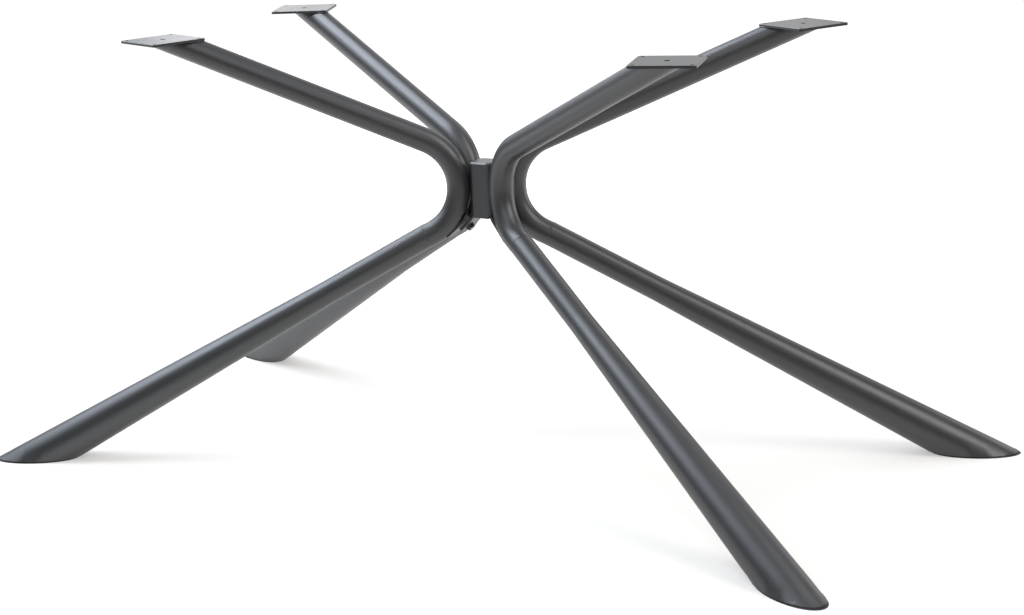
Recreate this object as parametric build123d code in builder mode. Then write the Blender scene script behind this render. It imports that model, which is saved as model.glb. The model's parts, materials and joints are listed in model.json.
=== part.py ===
from build123d import *
import os
from math import atan, atan2, cos, radians, sin, sqrt, tan

os.makedirs("parts", exist_ok=True)

# Twin table base: two pairs of bent tubes, bolted back to back to a central block.
# Millimetres, +Z up, front towards -Y. The origin is on the floor, in the middle of the footprint.

# Overall
height = 710.0  # floor to the top faces of the plates

# Bent tubes
tube_diameter = 40.0
tube_wall = 2.0
bend_radius = 85.0  # to the tube's centre line
run_length = 1.9  # upright run between the two bends
run_middle = 451.9  # height of the middle of that run
stub_length = 6.0  # straight end below the lower bend
end_slope = radians(23.35)  # the arm rises and the stub falls at this slope
leg_slope = radians(28.3)  # a leg turns down a little more at its seam
pair_gap = 0.3  # between the two tubes of a pair
pair_spacing = 82.0  # between the runs of the left and the right pair

# Plan angles, measured from the long axis. The front legs are spread wider than the back ones.
front_arm_angle = radians(27.67)
front_leg_angle = radians(28.19)
back_arm_angle = radians(20.0)
back_leg_angle = radians(21.92)

# Legs
leg_wall = 2.0
neck_length = 196.8  # plain stretch before the taper
foot_diameter = 69.4  # across the leg's axis, where it meets the floor

# Foot pads
pad_thickness = 3.0
pad_inset = 0.8

# Top plates
plate_thickness = 4.0
plate_corner = 4.0
plate_edge = 0.5
plate_shift = 5.8  # outwards from where the arm's axis meets the top face
screw_spacing = 84.0
screw_edge = 8.0  # from a screw to the plate's edge
screw_hole = 6.0
middle_hole = 9.0

# Central block and its cap
block_depth = 44.0
block_height = 84.6
block_corner = 10.0
block_wall = 4.0
block_gap = 0.25  # to the tubes beside it
cap_thickness = 4.0
cap_edge = 2.4

# Gusset plates on the lower bends
gusset_slope = radians(44.5)
gusset_rise = 47.0  # up the slope, from where the bends touch
gusset_length = 50.0
gusset_top_width = 52.0
gusset_foot_width = 84.0
gusset_prong = 21.0  # width of each of the two lower ends
gusset_notch = 20.0  # depth of the notch between them
gusset_thickness = 4.5
gusset_corner = 3.0
gusset_sink = 3.0  # how far the bends lie in the plate
weld_gap = 0.2  # between the plate and the bends
nut_seat = 20.0  # across the flat that is cut for a nut

# Saddle plate below the block
saddle_thickness = 4.0
saddle_bend = 2.0  # inside radius
wing_width = 37.0
wing_length = 35.0  # along the slope, from the gusset's upper end
wing_corner = 4.0

# M8 bolts, washers and nuts
bolt_seat = 25.0  # along the slope, from the gusset's upper end
bolt_diameter = 8.0
bolt_length = 16.0
bolt_hole = 9.0
head_across_flats = 13.0
head_height = 4.4
head_chamfer = 0.6
washer_diameter = 16.0
washer_thickness = 1.2
washer_hole = 8.4
nut_height = 6.5
nut_hole = 8.1

# Worked out from the sizes above
tube_radius = tube_diameter / 2
foot_radius = foot_diameter / 2
tube_x = pair_spacing / 2
tube_y = tube_radius + pair_gap / 2
plate_size = screw_spacing + 2 * screw_edge
plate_bottom = height - plate_thickness
setback = bend_radius * tan(radians(45) - end_slope / 2)
bend_end = run_middle - run_length / 2
upper_corner_z = run_middle + run_length / 2 + setback
lower_corner_z = bend_end - setback
stub_reach = setback + stub_length
seam_out = stub_reach * cos(end_slope)
seam_z = lower_corner_z - stub_reach * sin(end_slope)
leg_length = seam_z / sin(leg_slope)
taper = (foot_radius - tube_radius) / (leg_length - neck_length)

# The block's rounded corners nest between the tubes of each pair.
block_corner_y = block_depth / 2 - block_corner
block_reach = tube_radius + block_gap + block_corner
block_corner_x = tube_x - sqrt(block_reach**2 - (tube_y - block_corner_y) ** 2)
block_width = 2 * (block_corner_x + block_corner)


def footprint_edge(leg_angle):
    """Distance from the hub to the outer edge of a pad, across the long axis."""
    opening = atan(taper)
    apex = (foot_radius - pad_inset) / taper
    toe = apex * sin(leg_slope) / tan(leg_slope - opening)
    heel = apex * sin(leg_slope) / tan(leg_slope + opening)
    half_long = (toe - heel) / 2
    half_short = half_long * sqrt(1 - (cos(leg_slope) / cos(opening)) ** 2)
    reach = seam_out + (leg_length - apex) * cos(leg_slope) + (toe + heel) / 2
    spread = sqrt((half_long * sin(leg_angle)) ** 2 + (half_short * cos(leg_angle)) ** 2)
    return tube_y + reach * sin(leg_angle) + spread


def bend_touch(leg_angle):
    """Point where the outside of a lower bend touches a plane of the gusset's slope, as X and Z."""
    turn = atan2(cos(gusset_slope), sin(gusset_slope) * cos(leg_angle))
    x = tube_x + bend_radius * (1 - cos(turn)) * cos(leg_angle) - tube_radius * sin(gusset_slope)
    z = bend_end - bend_radius * sin(turn) - tube_radius * cos(gusset_slope)
    return x, z


def slope_depth(x, z):
    """How deep a point lies along the gusset's normal, away from the tubes."""
    return -x * sin(gusset_slope) - z * cos(gusset_slope)


# The hub stands behind the middle of the footprint by half the difference of the two spreads.
hub_y = (footprint_edge(front_leg_angle) - footprint_edge(back_leg_angle)) / 2

# The gussets lie on the bends that reach furthest, and the saddle and the block stand on the gussets.
front_touch = bend_touch(front_leg_angle)
back_touch = bend_touch(back_leg_angle)
gusset_depth = max(slope_depth(*front_touch), slope_depth(*back_touch)) - gusset_sink
gusset_top = front_touch[1] + gusset_rise * sin(gusset_slope)
gusset_x = -(gusset_depth + gusset_top * cos(gusset_slope)) / sin(gusset_slope)
saddle_top = gusset_top + block_gap
block_top = saddle_top + block_height


def outwards(side_x, side_y, angle):
    """Level direction in which an arm or a leg runs out."""
    return Vector(side_x * cos(angle), side_y * sin(angle), 0)


def stub_direction(leg_out):
    """Direction of the straight end below a lower bend."""
    return leg_out * cos(end_slope) - Vector(0, 0, sin(end_slope))


def bent_tube(base, arm_out, leg_out):
    """Arm, two bends and the run between them, cut level below the top plate."""
    arm = arm_out * cos(end_slope) + Vector(0, 0, sin(end_slope))
    stub = stub_direction(leg_out)
    upper_corner = base + Vector(0, 0, upper_corner_z)
    lower_corner = base + Vector(0, 0, lower_corner_z)
    arm_length = (plate_bottom - upper_corner_z) / sin(end_slope) + tube_diameter / tan(end_slope)
    with BuildPart() as tube:
        with BuildLine() as path:
            FilletPolyline(
                upper_corner + arm * arm_length,
                upper_corner,
                lower_corner,
                lower_corner + stub * stub_reach,
                radius=bend_radius,
            )
        with BuildSketch(Plane(origin=path.line @ 0, z_dir=path.line % 0)):
            Circle(tube_radius)
            Circle(tube_radius - tube_wall, mode=Mode.SUBTRACT)
        sweep(path=path.line)
        split(bisect_by=Plane.XY.offset(plate_bottom), keep=Keep.BOTTOM)
    return tube


def leg_plane(base, leg_out):
    """Plane through a leg's axis, with its origin at the seam and X down the leg."""
    seam = base + leg_out * seam_out + Vector(0, 0, seam_z)
    leg = leg_out * cos(leg_slope) - Vector(0, 0, sin(leg_slope))
    return Plane(origin=seam, x_dir=leg, z_dir=leg_out.cross(Vector(0, 0, 1)))


def tapered_leg(plane, leg_out):
    """Hollow leg with a plain neck and a widening length, cut at the seam and level above its pad."""
    stub = stub_direction(leg_out)
    end = leg_length + 2 * foot_diameter
    end_radius = foot_radius + taper * 2 * foot_diameter
    with BuildPart() as leg:
        with BuildSketch(plane):
            with BuildLine():
                Polyline(
                    (-tube_radius, tube_radius - leg_wall),
                    (-tube_radius, tube_radius),
                    (neck_length, tube_radius),
                    (end, end_radius),
                    (end, end_radius - leg_wall),
                    (neck_length, tube_radius - leg_wall),
                    close=True,
                )
            make_face()
        revolve(axis=Axis(plane.origin, plane.x_dir))
        split(bisect_by=Plane(origin=plane.origin, z_dir=stub), keep=Keep.TOP)
        split(bisect_by=Plane.XY.offset(pad_thickness), keep=Keep.TOP)
    return leg


def foot_pad(plane):
    """Flat pad that closes the foot, with the outline of the leg's level cut."""
    margin = 2 * foot_diameter
    with BuildPart() as pad:
        with BuildSketch(plane):
            with BuildLine():
                Polyline(
                    (leg_length - margin, 0),
                    (leg_length - margin, foot_radius - pad_inset - taper * margin),
                    (leg_length + margin, foot_radius - pad_inset + taper * margin),
                    (leg_length + margin, 0),
                    close=True,
                )
            make_face()
        revolve(axis=Axis(plane.origin, plane.x_dir))
        split(bisect_by=Plane.XY, keep=Keep.TOP)
        split(bisect_by=Plane.XY.offset(pad_thickness), keep=Keep.BOTTOM)
    return pad


def top_plate(base, arm_out):
    """Square plate with a corner towards the hub, four screw holes and a middle hole."""
    reach = (height - upper_corner_z) / tan(end_slope) + plate_shift
    middle = base + arm_out * reach + Vector(0, 0, plate_bottom)
    with BuildPart() as plate:
        with BuildSketch(Plane(origin=middle, x_dir=arm_out.rotate(Axis.Z, 45), z_dir=(0, 0, 1))):
            RectangleRounded(plate_size, plate_size, plate_corner)
            Circle(middle_hole / 2, mode=Mode.SUBTRACT)
            with GridLocations(screw_spacing, screw_spacing, 2, 2):
                Circle(screw_hole / 2, mode=Mode.SUBTRACT)
        extrude(amount=plate_thickness)
        chamfer(plate.faces().sort_by(Axis.Z)[-1].outer_wire().edges(), plate_edge)
    return plate


def finish(piece, name):
    """Labels a finished piece and writes its file."""
    piece.part.label = name
    export_step(piece.part, f"parts/{name}.step")


# Four corners: side along X, side along Y, and the plan angles of the arm and the leg
corners = {
    "front_left": (-1, -1, front_arm_angle, front_leg_angle),
    "front_right": (1, -1, front_arm_angle, front_leg_angle),
    "back_left": (-1, 1, back_arm_angle, back_leg_angle),
    "back_right": (1, 1, back_arm_angle, back_leg_angle),
}
for corner, (side_x, side_y, arm_angle, leg_angle) in corners.items():
    base = Vector(side_x * tube_x, hub_y + side_y * tube_y, 0)
    arm_out = outwards(side_x, side_y, arm_angle)
    leg_out = outwards(side_x, side_y, leg_angle)
    plane = leg_plane(base, leg_out)
    finish(bent_tube(base, arm_out, leg_out), f"{corner}_tube")
    finish(tapered_leg(plane, leg_out), f"{corner}_leg")
    finish(foot_pad(plane), f"{corner}_foot_pad")
    finish(top_plate(base, arm_out), f"{corner}_top_plate")

# Central block: an upright box section between the two pairs
with BuildPart() as block:
    with BuildSketch(Plane((0, hub_y, saddle_top))):
        RectangleRounded(block_width, block_depth, block_corner)
        RectangleRounded(
            block_width - 2 * block_wall,
            block_depth - 2 * block_wall,
            block_corner - block_wall,
            mode=Mode.SUBTRACT,
        )
    extrude(amount=block_height)
finish(block, "centre_block")

# Cap that closes the block
with BuildPart() as cap:
    with BuildSketch(Plane((0, hub_y, block_top))):
        RectangleRounded(block_width, block_depth, block_corner)
    extrude(amount=cap_thickness)
    chamfer(cap.faces().sort_by(Axis.Z)[-1].edges(), cap_edge)
finish(cap, "block_cap")


def gusset_plane(side):
    """Plane on a gusset's upper face, from its upper end, X down the slope, Z away from the tubes."""
    return Plane(
        origin=(side * gusset_x, hub_y, gusset_top),
        x_dir=(side * cos(gusset_slope), 0, -sin(gusset_slope)),
        z_dir=(-side * sin(gusset_slope), 0, -cos(gusset_slope)),
    )


# Gussets: one forked plate on the outside of each pair's lower bends, cut out to cradle both tubes
for side, side_name in ((-1, "left"), (1, "right")):
    with BuildPart() as gusset:
        with BuildSketch(gusset_plane(side)) as fork:
            with BuildLine():
                Polyline(
                    (0, -gusset_top_width / 2),
                    (gusset_length, -gusset_foot_width / 2),
                    (gusset_length, gusset_prong - gusset_foot_width / 2),
                    (gusset_length - gusset_notch, 0),
                    (gusset_length, gusset_foot_width / 2 - gusset_prong),
                    (gusset_length, gusset_foot_width / 2),
                    (0, gusset_top_width / 2),
                    close=True,
                )
            make_face()
            fillet(fork.vertices(), gusset_corner)
            with Locations((bolt_seat, 0)):
                Circle(bolt_hole / 2, mode=Mode.SUBTRACT)
        extrude(amount=gusset_thickness)
        with BuildSketch(gusset_plane(side)):
            with Locations((bolt_seat, 0)):
                Circle(nut_seat / 2)
        extrude(amount=gusset_sink, mode=Mode.SUBTRACT)
        for side_y, leg_angle in ((-1, front_leg_angle), (1, back_leg_angle)):
            base = Vector(side * tube_x, hub_y + side_y * tube_y, 0)
            stub = stub_direction(outwards(side, side_y, leg_angle))
            with BuildLine() as lower_bend:
                FilletPolyline(
                    base + Vector(0, 0, run_middle),
                    base + Vector(0, 0, lower_corner_z),
                    base + Vector(0, 0, lower_corner_z) + stub * stub_reach,
                    radius=bend_radius,
                )
            with BuildSketch(Plane(origin=lower_bend.line @ 0, z_dir=lower_bend.line % 0)):
                Circle(tube_radius + weld_gap)
            sweep(path=lower_bend.line, mode=Mode.SUBTRACT)
    finish(gusset, f"{side_name}_gusset")

# Saddle: a flat below the block, bent down on both sides into wings that lie on the gussets
wing_x = gusset_x - gusset_thickness * sin(gusset_slope)
wing_z = gusset_top - gusset_thickness * cos(gusset_slope)
flat_x = wing_x - (saddle_top - wing_z) / tan(gusset_slope)
under_x = flat_x - saddle_thickness * tan(gusset_slope / 2)
end_x = wing_x + wing_length * cos(gusset_slope)
end_z = wing_z - wing_length * sin(gusset_slope)
under_end_x = end_x - saddle_thickness * sin(gusset_slope)
under_end_z = end_z - saddle_thickness * cos(gusset_slope)
with BuildPart() as saddle:
    with BuildSketch(Plane((0, hub_y, 0), x_dir=(1, 0, 0), z_dir=(0, -1, 0))):
        with BuildLine():
            upper = FilletPolyline(
                (0, saddle_top),
                (flat_x, saddle_top),
                (end_x, end_z),
                radius=saddle_bend + saddle_thickness,
            )
            under = FilletPolyline(
                (0, saddle_top - saddle_thickness),
                (under_x, saddle_top - saddle_thickness),
                (under_end_x, under_end_z),
                radius=saddle_bend,
            )
            Line(upper @ 0, under @ 0)
            Line(upper @ 1, under @ 1)
        make_face()
    extrude(amount=block_depth / 2, both=True)
    mirror(about=Plane.YZ)
    notch_depth = (block_depth - wing_width) / 2
    notch_y = (block_depth + wing_width) / 4
    notch_x = flat_x - (saddle_bend + saddle_thickness) * tan(gusset_slope / 2)
    with BuildSketch(Plane((0, hub_y, saddle_top))):
        with GridLocations(2 * notch_x + block_width, 2 * notch_y, 2, 2):
            Rectangle(block_width, notch_depth)
    extrude(amount=end_z - saddle_top - saddle_thickness, mode=Mode.SUBTRACT)
    for side in (-1, 1):
        across = Axis((0, 0, 0), gusset_plane(side).z_dir)
        fillet(saddle.edges().filter_by(across), wing_corner)
        with BuildSketch(gusset_plane(side).offset(gusset_thickness)):
            with Locations((bolt_seat, 0)):
                Circle(bolt_hole / 2)
        extrude(amount=saddle_thickness, mode=Mode.SUBTRACT)
finish(saddle, "saddle_plate")

# Bolts from below, each through a washer, a wing, a gusset and a nut
head_seat = gusset_thickness + saddle_thickness + washer_thickness
with BuildPart() as bolts:
    for side in (-1, 1):
        with BuildSketch(gusset_plane(side).offset(head_seat)):
            with Locations((bolt_seat, 0)):
                RegularPolygon(head_across_flats / 2, 6, major_radius=False)
        extrude(amount=head_height)
        across = Axis((0, 0, 0), gusset_plane(side).z_dir)
        chamfer(bolts.faces(Select.LAST).sort_by(across)[-1].edges(), head_chamfer)
        with BuildSketch(gusset_plane(side).offset(head_seat)):
            with Locations((bolt_seat, 0)):
                Circle(bolt_diameter / 2)
        extrude(amount=-bolt_length)
finish(bolts, "bolts")

with BuildPart() as washers:
    for side in (-1, 1):
        with BuildSketch(gusset_plane(side).offset(head_seat)):
            with Locations((bolt_seat, 0)):
                Circle(washer_diameter / 2)
                Circle(washer_hole / 2, mode=Mode.SUBTRACT)
        extrude(amount=-washer_thickness)
finish(washers, "washers")

with BuildPart() as nuts:
    for side in (-1, 1):
        with BuildSketch(gusset_plane(side).offset(gusset_sink)):
            with Locations((bolt_seat, 0)):
                RegularPolygon(head_across_flats / 2, 6, major_radius=False)
                Circle(nut_hole / 2, mode=Mode.SUBTRACT)
        extrude(amount=-nut_height)
finish(nuts, "nuts")
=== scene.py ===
# %% [markdown]
# Twin table base.
# A steel base for a long table: two pairs of bent tubes stand back to back on a small block, carry four
# square plates and run down into four tapered legs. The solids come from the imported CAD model, so this
# lesson does not rebuild them. It dresses them: finishes, weld beads, light, floor and camera.

# %% Load the frame
import json
from math import cos, radians, sin, tan

import bpy
from mathutils import Matrix, Vector


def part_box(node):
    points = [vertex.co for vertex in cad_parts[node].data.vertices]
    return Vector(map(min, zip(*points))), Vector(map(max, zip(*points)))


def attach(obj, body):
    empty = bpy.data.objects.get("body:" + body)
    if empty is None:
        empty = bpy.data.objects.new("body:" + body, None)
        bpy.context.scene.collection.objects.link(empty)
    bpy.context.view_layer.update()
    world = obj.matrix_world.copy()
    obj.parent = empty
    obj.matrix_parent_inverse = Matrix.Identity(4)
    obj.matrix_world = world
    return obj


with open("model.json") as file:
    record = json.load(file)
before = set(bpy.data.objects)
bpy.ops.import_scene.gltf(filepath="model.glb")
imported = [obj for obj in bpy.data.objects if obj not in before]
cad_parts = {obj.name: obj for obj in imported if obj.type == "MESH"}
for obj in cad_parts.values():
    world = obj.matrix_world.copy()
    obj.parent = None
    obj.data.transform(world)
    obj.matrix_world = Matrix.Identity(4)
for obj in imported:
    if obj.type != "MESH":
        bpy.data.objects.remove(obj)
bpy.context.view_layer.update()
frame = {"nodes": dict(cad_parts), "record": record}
nodes = frame["nodes"]

# %% [markdown]
# The camera.
# The photo was taken from the front right, a little above the plates, with a long lens. A camera can be
# aimed with a Track To constraint, but then it never leans. This one leans by two degrees, so its matrix
# is written from three angles: turn, tilt and lean.

# %% Camera
photo_width = 1024
focal_pixels = 2082.71
sensor_width = 36.0
camera_place = Vector((1.7888, -2.8070, 1.1306))
turn = radians(31.581)
tilt = radians(14.784)
lean = radians(2.421)

ahead = Vector((-sin(turn) * cos(tilt), cos(turn) * cos(tilt), -sin(tilt)))
level_right = Vector((cos(turn), sin(turn), 0))
level_down = ahead.cross(level_right)
right = level_right * cos(lean) + level_down * sin(lean)
up = level_right * sin(lean) - level_down * cos(lean)

camera = bpy.data.objects.new("camera", bpy.data.cameras.new("camera"))
camera.data.sensor_fit = "HORIZONTAL"
camera.data.sensor_width = sensor_width
camera.data.lens = focal_pixels * sensor_width / photo_width
camera.data.clip_end = 200
camera.matrix_world = Matrix.Translation(camera_place) @ Matrix((right, up, -ahead)).transposed().to_4x4()
bpy.context.scene.collection.objects.link(camera)
bpy.context.scene.camera = camera
print("camera: lens", round(camera.data.lens, 2), "mm")

# %% [markdown]
# The floor.
# A studio photo of this kind stands on white paper. A plain plane is enough, as long as it is large: the
# camera looks down, so the paper fills the whole picture. The materials below are small node trees, so a
# few helpers come first. Most of them add one node and hand back what comes out of it.

# %% Floor
floor_size = 80.0


def new_material(name):
    """A material with an empty node tree."""
    material = bpy.data.materials.new(name)
    material.use_nodes = True
    material.node_tree.nodes.clear()
    return material


def link(tree, source, target):
    """Joins two sockets."""
    tree.links.new(source, target)


def combine(tree, operation, *values):
    """A Math node on the given sockets."""
    step = tree.nodes.new("ShaderNodeMath")
    step.operation = operation
    for socket, value in zip(step.inputs, values):
        link(tree, value, socket)
    return step.outputs["Value"]


def rescale(tree, value, start, end, low, high, blend="LINEAR"):
    """A Map Range node that carries one span of values to another."""
    step = tree.nodes.new("ShaderNodeMapRange")
    step.interpolation_type = blend
    step.inputs["From Min"].default_value = start
    step.inputs["From Max"].default_value = end
    step.inputs["To Min"].default_value = low
    step.inputs["To Max"].default_value = high
    link(tree, value, step.inputs["Value"])
    return step.outputs["Result"]


def measure_along(tree, place, direction):
    """A Dot Product node: how far a place lies in a direction."""
    step = tree.nodes.new("ShaderNodeVectorMath")
    step.operation = "DOT_PRODUCT"
    step.inputs[1].default_value = direction
    link(tree, place, step.inputs[0])
    return step.outputs["Value"]


bpy.ops.object.select_all(action="DESELECT")
bpy.ops.mesh.primitive_plane_add(size=floor_size)
floor = bpy.context.active_object
floor.name = "paper_floor"
print("floor:", floor_size, "m square")

# %% [markdown]
# The paper.
# Close to the base the paper has to take soft shadows, so there the lamps give a large part of its light
# and a glow of its own gives the rest. Further out the glow rises to paper white. Only rays that show the
# paper see the glow, so it does not fill in the shadows. In the tubes the paper shows mostly from behind,
# because the room in front of the base is dim, so the part that they mirror falls off to the front. The
# paper is a little warm, as the light from the left is cool, and so its shadows come out neutral.

# %% Paper
lit_radius = 0.9
white_radius = 2.6
near_glow = 0.40
far_share_back = 0.12
near_share_front = 0.25
near_share_back = 1.5
behind = Vector((-0.52, 0.85, 0))
warm_white = (0.592, 0.57, 0.535, 1)

paper = new_material("white_paper")
tree = paper.node_tree
place = tree.nodes.new("ShaderNodeTexCoord").outputs["Object"]
path = tree.nodes.new("ShaderNodeLightPath").outputs
length = tree.nodes.new("ShaderNodeVectorMath")
length.operation = "LENGTH"
link(tree, place, length.inputs[0])
radius = length.outputs["Value"]
far_glow = rescale(tree, radius, lit_radius, white_radius, 0, 1 - near_glow, blend="SMOOTHSTEP")
rearward = measure_along(tree, place, behind)
far_mirrored = rescale(tree, rearward, start=-0.5, end=1.5, low=0, high=far_share_back)
near_low = near_share_front * near_glow
near_high = near_share_back * near_glow
near_mirrored = rescale(tree, rearward, start=-1.0, end=0.9, low=near_low, high=near_high)
near_level = tree.nodes.new("ShaderNodeMix")
near_level.inputs["B"].default_value = near_glow
link(tree, path["Is Camera Ray"], near_level.inputs["Factor"])
link(tree, near_mirrored, near_level.inputs["A"])
far_share = combine(tree, "MAXIMUM", path["Is Camera Ray"], far_mirrored)
level = combine(tree, "MULTIPLY_ADD", far_glow, far_share, near_level.outputs["Result"])
seen = combine(tree, "MAXIMUM", path["Is Camera Ray"], path["Is Glossy Ray"])
shown = combine(tree, "MAXIMUM", seen, path["Is Transmission Ray"])
glow = tree.nodes.new("ShaderNodeEmission")
link(tree, combine(tree, "MULTIPLY", shown, level), glow.inputs["Strength"])
diffuse = tree.nodes.new("ShaderNodeBsdfDiffuse")
diffuse.inputs["Color"].default_value = warm_white
total = tree.nodes.new("ShaderNodeAddShader")
link(tree, diffuse.outputs["BSDF"], total.inputs[0])
link(tree, glow.outputs["Emission"], total.inputs[1])
output = tree.nodes.new("ShaderNodeOutputMaterial")
link(tree, total.outputs["Shader"], output.inputs["Surface"])
floor.data.materials.append(paper)
print("paper: white beyond", white_radius, "m")

# %% [markdown]
# The world.
# It gives only a dim grey light, so that the lamps do the work. The camera sees it as white, like paper
# that runs up behind the base, and the tubes mirror a part of it at the back.

# %% World
world_level = 0.05
mirrored_level = 0.35

world = bpy.data.worlds.new("studio")
world.use_nodes = True
bpy.context.scene.world = world
tree = world.node_tree
direction = tree.nodes.new("ShaderNodeTexCoord").outputs["Generated"]
path = tree.nodes.new("ShaderNodeLightPath").outputs
facing_back = measure_along(tree, direction, behind)
room = rescale(tree, facing_back, start=0.2, end=1, low=0, high=mirrored_level)
mirrored = combine(tree, "MULTIPLY", room, path["Is Glossy Ray"])
seen = combine(tree, "MAXIMUM", path["Is Camera Ray"], path["Is Transmission Ray"])
shown = combine(tree, "MAXIMUM", seen, mirrored)
background = tree.nodes["Background"]
background.inputs["Color"].default_value = (1, 1, 1, 1)
link(tree, rescale(tree, shown, 0, 1, world_level, 1), background.inputs["Strength"])
print("world: light", world_level, "mirrored up to", mirrored_level)

# %% [markdown]
# The lamps.
# Round tubes show a whole room in their highlights, so the lamps stand in a ring round the base, as large
# square softboxes that all point at the hub. The strongest is high on the left, with cooler light. The
# others are weaker, and on the side of the camera there is only one, large and soft.

# %% Softboxes
aim = Vector((0, 0, 0.4))
cool = (0.82, 0.89, 1.0)
plain = (1.0, 1.0, 1.0)


def softbox(name, bearing, rise, power, colour, size=1.5, away=3.2):
    """A square lamp in the ring, given by its bearing from +X, its rise above the hub and its power."""
    level = cos(radians(rise))
    outwards = Vector((level * cos(radians(bearing)), level * sin(radians(bearing)), sin(radians(rise))))
    lamp = bpy.data.lights.new(name, "AREA")
    lamp.shape = "SQUARE"
    lamp.size = size
    lamp.energy = power
    lamp.color = colour
    box = bpy.data.objects.new(name, lamp)
    box.location = aim + outwards * away
    box.rotation_euler = (-outwards).to_track_quat("-Z", "Y").to_euler()
    box.visible_camera = False
    bpy.context.scene.collection.objects.link(box)


softbox("key", 211, 46, 27, cool, size=0.9, away=2.9)
softbox("left_high", 180, 58, 56, cool)
softbox("left_low", 180, 32, 29, cool)
softbox("front_left", 210, 32, 11, cool)
softbox("back_left_high", 148, 38, 20, cool, size=1.1)
softbox("back_left_low", 150, 8, 2, plain)
softbox("back_left", 130, 18, 5.5, plain, size=1.1)
softbox("back_middle", 113, 20, 2.2, plain, size=1.1)
softbox("back", 90, 32, 9, plain)
softbox("back_high", 90, 62, 6, plain, size=2.0)
softbox("back_right_low", 60, 8, 16, plain)
softbox("right_high", 0, 58, 20, plain)
softbox("right_low", 0, 32, 32, plain)
softbox("front_high", 288, 42, 26, plain, size=2.4)
print("lamps: a ring of", len(bpy.data.lights), "softboxes")

# %% [markdown]
# The powder coat.
# The steel is coated in a satin anthracite powder. It is baked on, so it is not quite smooth: the powder
# flows into low waves about a millimetre long, with a finer grain on top. An image could carry this, but
# noises on the piece's own coordinates need no file and never stretch. Two of them drive a small bump, and
# a broad one shifts the tone and the gloss a little, as in a sprayed coat.

# %% Powder coat
cloud_scale = 18
wave_scale = 600
wave_strength = 0.12
grain_scale = 2400
grain_strength = 0.15
grain_depth = 0.00004
tone_shift = 0.08
gloss_shift = 0.04


def noise(tree, place, scale, detail):
    """A Noise Texture node on the given coordinates."""
    step = tree.nodes.new("ShaderNodeTexNoise")
    step.inputs["Scale"].default_value = scale
    step.inputs["Detail"].default_value = detail
    link(tree, place, step.inputs["Vector"])
    return step.outputs["Fac"]


def bump(tree, height, strength, depth):
    """A Bump node that reads a height as a slope of the surface."""
    step = tree.nodes.new("ShaderNodeBump")
    step.inputs["Strength"].default_value = strength
    step.inputs["Distance"].default_value = depth
    link(tree, height, step.inputs["Height"])
    return step


def powder_coat(name, colour, roughness, specular, wave_depth):
    """Baked powder: a cloudy tone, a slightly uneven gloss, low waves and a fine grain."""
    material = new_material(name)
    tree = material.node_tree
    place = tree.nodes.new("ShaderNodeTexCoord").outputs["Object"]
    coat = tree.nodes.new("ShaderNodeBsdfPrincipled")
    coat.inputs["Specular IOR Level"].default_value = specular
    cloud = noise(tree, place, cloud_scale, detail=4)
    # A Mix node keeps its two colours in sockets 6 and 7 and hands out the mixed one at 2.
    tone = tree.nodes.new("ShaderNodeMix")
    tone.data_type = "RGBA"
    tone.inputs[6].default_value = (*[c * (1 - tone_shift) for c in colour], 1)
    tone.inputs[7].default_value = (*[c * (1 + tone_shift) for c in colour], 1)
    link(tree, cloud, tone.inputs["Factor"])
    link(tree, tone.outputs[2], coat.inputs["Base Color"])
    gloss = rescale(tree, cloud, 0, 1, roughness - gloss_shift, roughness + gloss_shift)
    link(tree, gloss, coat.inputs["Roughness"])
    waves = bump(tree, noise(tree, place, wave_scale, detail=1), wave_strength, wave_depth)
    grain = bump(tree, noise(tree, place, grain_scale, detail=2), grain_strength, grain_depth)
    link(tree, waves.outputs["Normal"], grain.inputs["Normal"])
    link(tree, grain.outputs["Normal"], coat.inputs["Normal"])
    output = tree.nodes.new("ShaderNodeOutputMaterial")
    link(tree, coat.outputs["BSDF"], output.inputs["Surface"])
    return material


anthracite = (0.0228, 0.0237, 0.0258)
tube_coat = powder_coat("anthracite_powder", anthracite, roughness=0.42, specular=1.0, wave_depth=0.00006)
weld_coat = powder_coat("coated_weld", anthracite, roughness=0.44, specular=1.0, wave_depth=0.0003)
plate_coat = powder_coat("plate_powder", anthracite, roughness=0.32, specular=1.0, wave_depth=0.00006)
print("powder coats:", tube_coat.name, weld_coat.name, plate_coat.name)

# %% [markdown]
# The finishes.
# Tubes, legs and hub wear the plain coat. The plates mirror the pale paper more clearly than the tubes do,
# so theirs is a little smoother. Bolts and nuts are black zinc and the pads are dull plastic, for which the
# same helper serves with other values. Each CAD node gets its finish by the slot that the record gives it.

# %% Finishes
zinc_black = (0.03, 0.03, 0.032)
dull_black = (0.014, 0.014, 0.014)
black_zinc = powder_coat("black_zinc", zinc_black, roughness=0.34, specular=1.0, wave_depth=0.00005)
foot_plastic = powder_coat("foot_plastic", dull_black, roughness=0.6, specular=0.5, wave_depth=0.0002)
finishes = {"coated_steel": tube_coat, "fastener_steel": black_zinc, "foot_plastic": foot_plastic}
slots = {entry["node"]: entry["material_slot"] for entry in frame["record"]["subparts"]}
for name, node in nodes.items():
    node.data.materials.clear()
    node.data.materials.append(plate_coat if name.endswith("top_plate") else finishes[slots[name]])
print("finishes:", sorted(finishes))

# %% [markdown]
# Weld beads.
# The arms are welded to their plates, the legs to the tubes, the two tubes of a pair to each other and the
# gussets to the bends. A bead could be a curve with a round bevel, but a mesh shows better how a bead is
# made: a small round section that is carried along a line. For a ring the section is spun about an axis.
# A Displace modifier then gives it the uneven swellings of a bead that was laid by hand.

# %% Bead helpers
tube_radius = 0.020
section_points = 10
ring_steps = 120
ripple = bpy.data.textures.new("bead_ripple", "CLOUDS")
ripple.noise_scale = 0.0035


def choose(piece):
    """Selects one piece and nothing else."""
    bpy.ops.object.select_all(action="DESELECT")
    piece.select_set(True)
    bpy.context.view_layer.objects.active = piece


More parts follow.
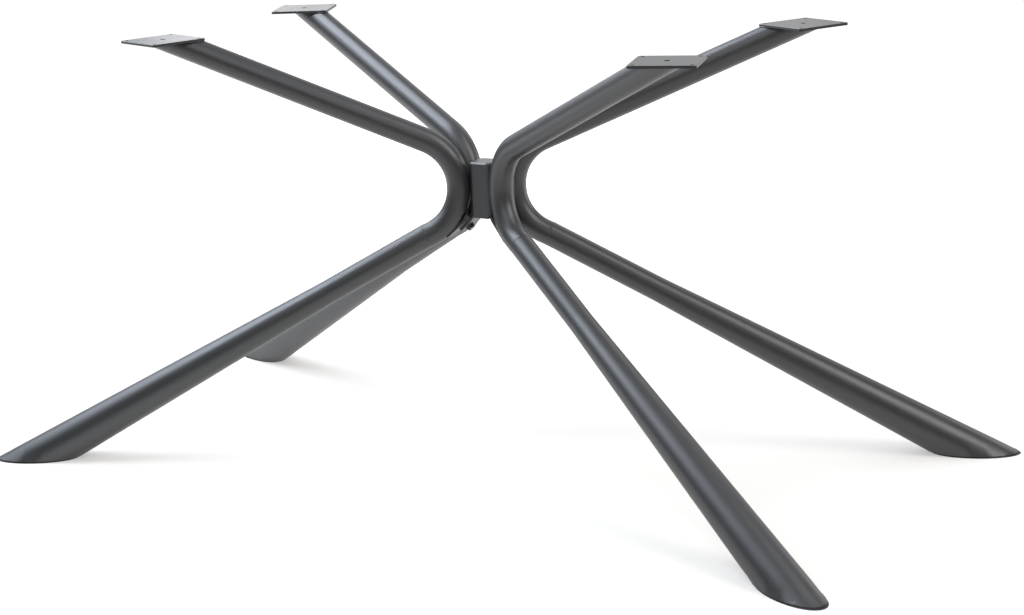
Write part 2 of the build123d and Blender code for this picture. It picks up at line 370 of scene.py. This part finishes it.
def roughen(bead, amount):
    """Small uneven swellings along a bead, and smooth shading."""
    choose(bead)
    bpy.ops.object.modifier_add(type="DISPLACE")
    swelling = bead.modifiers[-1]
    swelling.texture = ripple
    swelling.texture_coords = "LOCAL"
    swelling.strength = amount
    bpy.ops.object.modifier_apply(modifier=swelling.name)
    bpy.ops.object.shade_smooth()


def bead_ring(name, thickness, width, stretch):
    """A section spun into a ring round a tube, drawn out along X where the cut is slanted."""
    bpy.ops.object.select_all(action="DESELECT")
    bpy.ops.mesh.primitive_circle_add(vertices=section_points, radius=1, rotation=(radians(90), 0, 0))
    ring = bpy.context.active_object
    ring.name = name
    bpy.ops.object.transform_apply(location=False, rotation=True, scale=False)
    bpy.ops.object.mode_set(mode="EDIT")
    bpy.ops.mesh.select_all(action="SELECT")
    bpy.ops.transform.resize(value=(thickness, 1, width))
    bpy.ops.transform.translate(value=(tube_radius, 0, 0))
    bpy.ops.mesh.spin(steps=ring_steps, angle=radians(360), center=(0, 0, 0), axis=(0, 0, 1))
    bpy.ops.mesh.select_all(action="SELECT")
    bpy.ops.transform.resize(value=(stretch, 1, 1))
    bpy.ops.mesh.normals_make_consistent(inside=False)
    bpy.ops.object.mode_set(mode="OBJECT")
    return ring


def put_copy(bead, name, place, turned):
    """A copy with its own mesh, its place applied, that rides on the frame."""
    choose(bead)
    bpy.ops.object.duplicate(linked=False)
    copy = bpy.context.active_object
    copy.name = name
    copy.matrix_world = Matrix.Translation(place) @ turned.to_matrix().to_4x4()
    bpy.ops.object.transform_apply(location=True, rotation=True, scale=True)
    copy.data.materials.clear()
    copy.data.materials.append(weld_coat)
    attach(copy, "root")


print("bead helpers: sections of", section_points, "points, rings of", ring_steps, "steps")

# %% [markdown]
# Places on the tubes.
# Each bead sits where two pieces meet, so its place is worked out from the sizes of the tubes and the boxes
# of the CAD nodes. Each tube has a short upright run beside the block. There it bends outwards, and then it
# runs straight, so a point on an arm or leg is given by how far out it lies and how high.

# %% Places on the tubes
tube_x = 0.041
tube_y = 0.02015
bend_radius = 0.085
run_middle = 0.4519
run_length = 0.0019
end_slope = radians(23.35)
setback = bend_radius * tan(radians(45) - end_slope / 2)
block_low, block_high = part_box("centre_block")
hub_y = (block_low.y + block_high.y) / 2
corners = {"front_left": (-1, -1), "front_right": (1, -1), "back_left": (-1, 1), "back_right": (1, 1)}


def outward(side, depth, turn):
    """The level direction in which an arm or leg leaves the hub."""
    return Vector((side * cos(turn), depth * sin(turn), 0))


def along(side, depth, turn, reach, height):
    """A point at a distance from the upright run of a tube, out along its arm or leg."""
    x = side * (tube_x + reach * cos(turn))
    y = hub_y + depth * (tube_y + reach * sin(turn))
    return Vector((x, y, height))


print("places on the tubes: hub at y", round(hub_y, 4), "m, bends set back", round(setback, 4), "m")

# %% [markdown]
# Plate welds.
# Each arm is cut level, so its end under the plate is a long ellipse. The bead runs round it in the corner
# between tube and plate. A ring is made round and then stretched, because a slanted cut through a round
# tube is the circle stretched by one over the sine of the slope.

# %% Plate welds
arm_turn = {-1: radians(27.67), 1: radians(20.0)}
plate_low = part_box("front_left_top_plate")[0]
arm_rise = plate_low.z - run_middle - run_length / 2 - setback
arm_reach = arm_rise / tan(end_slope)
plate_bead = bead_ring("plate_bead", thickness=0.0011, width=0.0014, stretch=1 / sin(end_slope))
roughen(plate_bead, amount=0.0005)
for corner, (side, depth) in corners.items():
    turn = arm_turn[depth]
    middle = along(side, depth, turn, arm_reach, plate_low.z)
    turned = outward(side, depth, turn).to_track_quat("X", "Z")
    put_copy(plate_bead, corner + "_plate_weld", middle, turned)
bpy.data.objects.remove(plate_bead)
print("plate welds: 4, ellipse", round(2000 * tube_radius / sin(end_slope), 1), "mm long")

# %% [markdown]
# Seam welds.
# A tapered leg meets the end of its bent tube in a butt weld that is ground nearly flush before coating,
# so only a low broad band is left. It is the same ring with a flatter section, square to the tube's end.

# %% Seam welds
leg_turn = {-1: radians(28.19), 1: radians(21.92)}
stub_length = 0.006
seam_reach = (setback + stub_length) * cos(end_slope)
seam_drop = (setback + stub_length) * sin(end_slope)
seam_height = run_middle - run_length / 2 - setback - seam_drop
seam_bead = bead_ring("seam_bead", thickness=0.00012, width=0.0022, stretch=1)
roughen(seam_bead, amount=0.00006)
for corner, (side, depth) in corners.items():
    turn = leg_turn[depth]
    seam = along(side, depth, turn, seam_reach, seam_height)
    falling = outward(side, depth, turn) * cos(end_slope) - Vector((0, 0, sin(end_slope)))
    put_copy(seam_bead, corner + "_seam_weld", seam, falling.to_track_quat("Z", "Y"))
bpy.data.objects.remove(seam_bead)
print("seam welds: 4, at", round(seam_height, 4), "m")

# %% [markdown]
# Pair welds.
# The two tubes of a pair come together only along their short upright run, so the bead between them is
# short and straight and lies in the outer groove. A small disc is extruded ring by ring and scaled at
# each step, so that the bead swells from one end and runs out at the other.

# %% Pair welds
groove_offset = 0.0098


def bead_run(name, length, radius):
    """A straight bead along Z, thick in the middle and running out at both ends."""
    rings = 14
    end_share = 0.3
    swell = [1.9, 1.4, 1.25]
    shrink = [1 / growth for growth in reversed(swell)]
    even = [1.0] * (rings - len(swell) - len(shrink))
    bpy.ops.object.select_all(action="DESELECT")
    bpy.ops.mesh.primitive_circle_add(
        vertices=section_points, radius=end_share * radius, fill_type="NGON", location=(0, 0, -length / 2)
    )
    run = bpy.context.active_object
    run.name = name
    bpy.ops.object.transform_apply(location=True, rotation=False, scale=False)
    bpy.ops.object.mode_set(mode="EDIT")
    bpy.ops.mesh.select_all(action="SELECT")
    for growth in swell + even + shrink:
        bpy.ops.mesh.extrude_region_move(TRANSFORM_OT_translate={"value": (0, 0, length / rings)})
        bpy.ops.transform.resize(value=(growth, growth, 1))
    bpy.ops.mesh.select_all(action="SELECT")
    bpy.ops.mesh.normals_make_consistent(inside=False)
    bpy.ops.object.mode_set(mode="OBJECT")
    return run


upright = Vector((0, 0, 1)).to_track_quat("Z", "Y")
pair_bead = bead_run("pair_bead", length=0.040, radius=0.003)
roughen(pair_bead, amount=0.0006)
for side_name, side in (("left", -1), ("right", 1)):
    groove = Vector((side * (tube_x + groove_offset), hub_y, run_middle))
    put_copy(pair_bead, side_name + "_pair_weld", groove, upright)
bpy.data.objects.remove(pair_bead)
print("pair welds: 2, at", run_middle, "m")

# %% [markdown]
# Gusset welds.
# A gusset lies under the lower bends of its pair, and a short bead along each of its sides holds it to the
# tube there. It is the same straight bead, only thinner, laid on the line between two points beside the
# plate. The points are measured from the gusset's upper end, which its box gives.

# %% Gusset welds
gusset_slope = radians(44.5)
gusset_thickness = 0.0045
gusset_low, gusset_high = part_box("right_gusset")
gusset_top_x = gusset_low.x + gusset_thickness * sin(gusset_slope)


def beside_gusset(side, depth, down_slope, across, below):
    """A point beside a gusset: down its slope, across from its middle and below its upper face."""
    top = Vector((side * gusset_top_x, hub_y, gusset_high.z))
    down = Vector((side * cos(gusset_slope), 0, -sin(gusset_slope)))
    away = Vector((-side * sin(gusset_slope), 0, -cos(gusset_slope)))
    return top + down * down_slope + Vector((0, depth * across, 0)) + away * below


gusset_bead = bead_run("gusset_bead", length=0.024, radius=0.0013)
roughen(gusset_bead, amount=0.0004)
for side_name, side in (("left", -1), ("right", 1)):
    for depth_name, depth in (("front", -1), ("back", 1)):
        upper = beside_gusset(side, depth, down_slope=0.024, across=0.0340, below=-0.0002)
        lower = beside_gusset(side, depth, down_slope=0.047, across=0.0413, below=0.0012)
        bead_line = (lower - upper).normalized()
        name = f"{depth_name}_{side_name}_gusset_weld"
        put_copy(gusset_bead, name, (upper + lower) / 2, bead_line.to_track_quat("Z", "Y"))
bpy.data.objects.remove(gusset_bead)
print("gusset welds: 4, below", round(gusset_high.z, 4), "m")

# %% [markdown]
# Last, the view transform is set to Standard.

# %% Finish
bpy.context.scene.view_settings.view_transform = "Standard"
